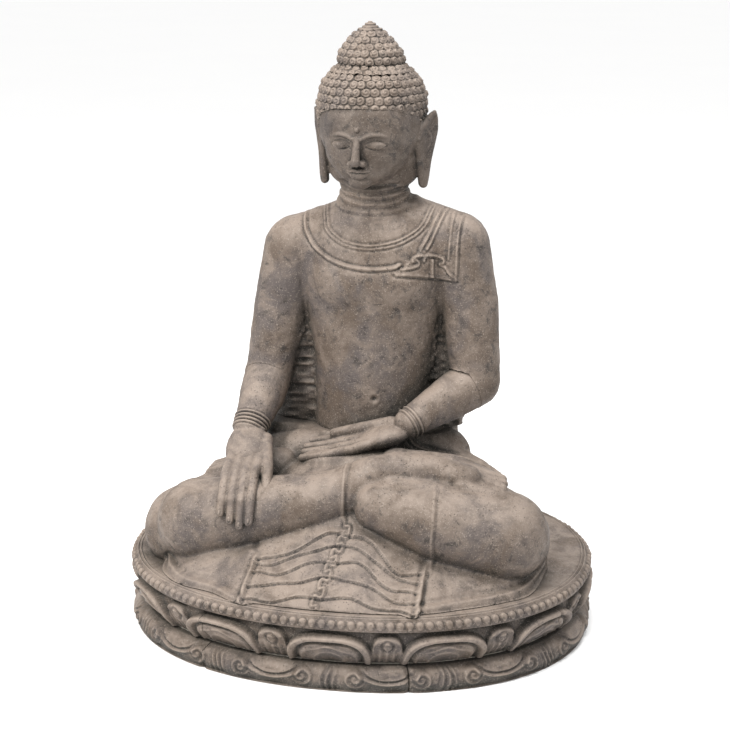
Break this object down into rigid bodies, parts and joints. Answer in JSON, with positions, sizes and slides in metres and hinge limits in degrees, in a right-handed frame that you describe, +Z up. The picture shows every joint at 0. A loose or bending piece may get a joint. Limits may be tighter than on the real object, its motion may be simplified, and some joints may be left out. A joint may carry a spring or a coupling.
{
  "type": "seated buddha garden statue",
  "caption": "Seated cross-legged Buddha in carved lava stone on an oval lotus plinth, built from dowelled blocks.",
  "frame": {"origin": "centre of the plinth's flat underside", "axes": "+Z up, -Y the way the figure faces, +X the figure's left"},
  "size_m": [1.176, 0.9528, 1.4999],
  "materials": {
    "lava_stone": "weathered, matte, pitted",
    "wrought_iron": "dark, dull",
    "lime_mortar": "matte",
    "rubble_core": "rough, matte"
  },
  "bodies": {
    "root": {"head_block": "lava_stone", "lap_block": "lava_stone", "lap_mortar_bed": "lime_mortar", "left_elbow_dowel": "wrought_iron", "left_forearm": "lava_stone", "left_waist_dowel": "wrought_iron", "lower_cramp_1": "wrought_iron", "lower_cramp_2": "wrought_iron", "lower_cramp_3": "wrought_iron", "lower_cramp_4": "wrought_iron", "lower_tier_stone_1": "lava_stone", "lower_tier_stone_2": "lava_stone", "lower_tier_stone_3": "lava_stone", "lower_tier_stone_4": "lava_stone", "neck_dowel": "wrought_iron", "neck_mortar_bed": "lime_mortar", "plinth_core": "rubble_core", "right_elbow_dowel": "wrought_iron", "right_forearm": "lava_stone", "right_waist_dowel": "wrought_iron", "seat_dowel_1": "wrought_iron", "seat_dowel_2": "wrought_iron", "seat_dowel_3": "wrought_iron", "seat_mortar_bed": "lime_mortar", "seat_slab": "lava_stone", "tier_mortar_bed": "lime_mortar", "topknot": "lava_stone", "topknot_dowel": "wrought_iron", "topknot_mortar_bed": "lime_mortar", "torso_block": "lava_stone", "upper_cramp_1": "wrought_iron", "upper_cramp_2": "wrought_iron", "upper_cramp_3": "wrought_iron", "upper_cramp_4": "wrought_iron", "upper_tier_stone_1": "lava_stone", "upper_tier_stone_2": "lava_stone", "upper_tier_stone_3": "lava_stone", "upper_tier_stone_4": "lava_stone", "waist_mortar_bed": "lime_mortar"}
  },
  "joints": []
}
